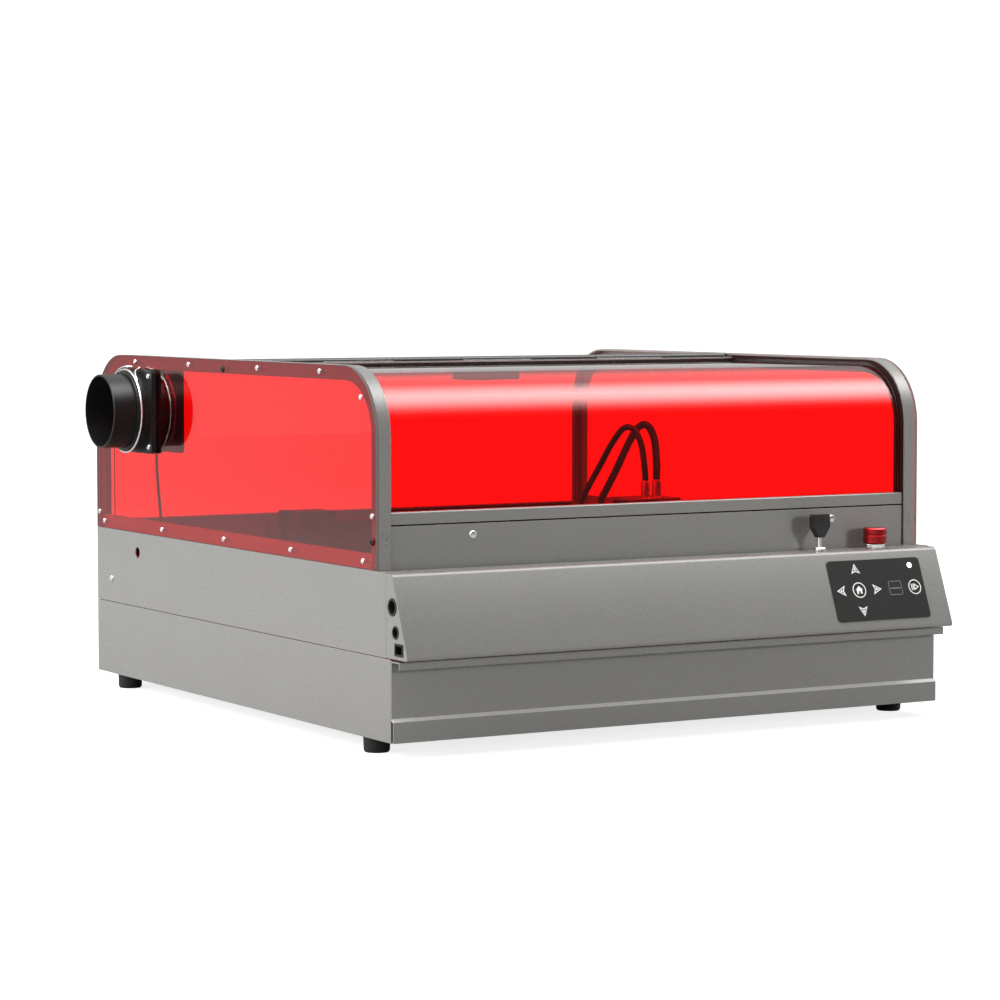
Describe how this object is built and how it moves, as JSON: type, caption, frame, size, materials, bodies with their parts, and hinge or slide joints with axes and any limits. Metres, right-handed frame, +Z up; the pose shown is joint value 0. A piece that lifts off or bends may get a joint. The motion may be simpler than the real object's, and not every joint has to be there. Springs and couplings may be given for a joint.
{
  "type": "desktop laser cutter",
  "caption": "Desktop laser cutter with a sheet-metal case, pull-out drawer, sloped control console, bent transparent red lid, side panes, exhaust fan and a belt-driven gantry.",
  "frame": {"origin": "on the table, below the middle of the whole object's box", "axes": "+X to the operator's right, +Y from the front to the rear, +Z up"},
  "size_m": [0.697, 0.7348, 0.3755],
  "materials": {
    "case_paint": "satin light grey powder coat",
    "front_paint": "satin mid grey powder coat",
    "dark_paint": "satin charcoal powder coat",
    "red_acrylic": "polished transparent red sheet",
    "black_plastic": "moulded",
    "rubber": "matt",
    "steel": "turned and plated",
    "red_metal": "red anodised, turned",
    "aluminium": "machined",
    "black_anodised": "black anodised",
    "membrane": "printed membrane",
    "circuit_board": "solder mask",
    "brass": "turned"
  },
  "bodies": {
    "chassis": {"base_shell": "case_paint", "foot_front_left": "rubber", "foot_front_right": "rubber", "foot_rear_left": "rubber", "foot_rear_right": "rubber", "left_side_panel": "case_paint", "right_side_panel": "case_paint", "rear_panel": "case_paint", "front_fascia": "front_paint", "control_apron": "front_paint", "keypad_overlay": "membrane", "side_ports": "black_plastic", "control_board": "circuit_board", "key_switch_barrel": "steel", "estop_collar": "aluminium", "left_hoop": "front_paint", "right_hoop": "front_paint", "left_window": "red_acrylic", "right_window": "red_acrylic", "rear_window": "red_acrylic", "top_crossbar": "dark_paint", "hinge_pin": "steel", "camera_housing": "black_plastic", "lid_sensor_left": "black_plastic", "lid_sensor_right": "black_plastic", "fan_frame": "black_plastic", "duct_flange": "black_plastic", "duct_pipe": "rubber", "hose_clamp": "steel", "fan_lead": "rubber", "motion_frame": "black_anodised", "y_motor": "black_anodised", "y_belt_left": "rubber", "y_belt_right": "rubber", "drawer_runner_left": "steel", "drawer_runner_right": "steel"},
    "lid": {"lid_window": "red_acrylic", "lid_frame": "front_paint"},
    "drawer": {"drawer_front": "front_paint", "drawer_tray": "case_paint", "honeycomb_bed": "aluminium"},
    "gantry": {"gantry_beam": "black_anodised", "gantry_plate_left": "aluminium", "gantry_plate_right": "aluminium", "x_motor": "black_anodised", "x_belt": "rubber"},
    "carriage": {"carriage_plate": "aluminium", "head_cable_thin": "rubber", "head_cable_thick": "rubber"},
    "laser": {"laser_housing": "black_anodised", "laser_nozzle": "brass"},
    "fan_wheel": {"fan_rotor": "black_plastic"},
    "switch_key": {"key": "black_plastic"},
    "stop_plunger": {"estop_plunger": "black_plastic"},
    "stop_cap": {"estop_cap": "red_metal"},
    "y_shaft": {"y_drive_shaft": "steel"},
    "y_idler_wheel_left": {"y_idler_left": "steel"},
    "y_idler_wheel_right": {"y_idler_right": "steel"},
    "x_drive_wheel": {"x_pulley": "steel"},
    "x_idler_wheel": {"x_idler": "steel"}
  },
  "joints": [
    {"name": "lid_hinge", "type": "hinge", "parent": "chassis", "child": "lid", "pos_m": [0.0235, 0.02494, 0.3725], "axis": [-1, 0, 0], "range_deg": [0, 75]},
    {"name": "drawer_slide", "type": "slide", "parent": "chassis", "child": "drawer", "axis": [0, -1, 0], "range_m": [0, 0.4]},
    {"name": "gantry_slide", "type": "slide", "parent": "chassis", "child": "gantry", "axis": [0, 1, 0], "range_m": [-0.165, 0.245]},
    {"name": "carriage_slide", "type": "slide", "parent": "gantry", "child": "carriage", "axis": [1, 0, 0], "range_m": [-0.32, 0.055]},
    {"name": "focus_slide", "type": "slide", "parent": "carriage", "child": "laser", "axis": [0, 0, 1], "range_m": [-0.015, 0.005]},
    {"name": "fan_spin", "type": "hinge", "parent": "chassis", "child": "fan_wheel", "pos_m": [-0.2982, 0.24944, 0.315], "axis": [1, 0, 0], "continuous": true},
    {"name": "key_turn", "type": "hinge", "parent": "chassis", "child": "switch_key", "pos_m": [0.2095, -0.32256, 0.1785], "axis": [0, 0, -1], "range_deg": [0, 90]},
    {"name": "estop_press", "type": "slide", "parent": "chassis", "child": "stop_plunger", "axis": [0, 0, -1], "range_m": [0, 0.004], "stiffness_N_per_m": 600, "springref_m": -0.002},
    {"name": "estop_twist", "type": "hinge", "parent": "stop_plunger", "child": "stop_cap", "pos_m": [0.2805, -0.32256, 0.1785], "axis": [0, 0, -1], "range_deg": [0, 40], "stiffness_Nm_per_rad": 0.05},
    {"name": "y_shaft_spin", "type": "hinge", "parent": "chassis", "child": "y_shaft", "pos_m": [0.0235, 0.30244, 0.148], "axis": [1, 0, 0], "range_deg": [-2070, 1395]},
    {"name": "y_idler_left_spin", "type": "hinge", "parent": "chassis", "child": "y_idler_wheel_left", "pos_m": [-0.2245, -0.24256, 0.148], "axis": [1, 0, 0], "range_deg": [-2070, 1395]},
    {"name": "y_idler_right_spin", "type": "hinge", "parent": "chassis", "child": "y_idler_wheel_right", "pos_m": [0.2715, -0.24256, 0.148], "axis": [1, 0, 0], "range_deg": [-2070, 1395]},
    {"name": "x_drive_spin", "type": "hinge", "parent": "gantry", "child": "x_drive_wheel", "pos_m": [-0.2385, -0.01706, 0.1985], "axis": [0, 1, 0], "range_deg": [-470, 2700]},
    {"name": "x_idler_spin", "type": "hinge", "parent": "gantry", "child": "x_idler_wheel", "pos_m": [0.2855, -0.01706, 0.1985], "axis": [0, 1, 0], "range_deg": [-470, 2700]}
  ],
  "couplings": [
    {"joint": "y_shaft_spin", "follows": "gantry_slide", "rad_per_m": -147.06},
    {"joint": "y_idler_left_spin", "follows": "gantry_slide", "rad_per_m": -147.06},
    {"joint": "y_idler_right_spin", "follows": "gantry_slide", "rad_per_m": -147.06},
    {"joint": "x_drive_spin", "follows": "carriage_slide", "rad_per_m": -147.06},
    {"joint": "x_idler_spin", "follows": "carriage_slide", "rad_per_m": -147.06}
  ]
}
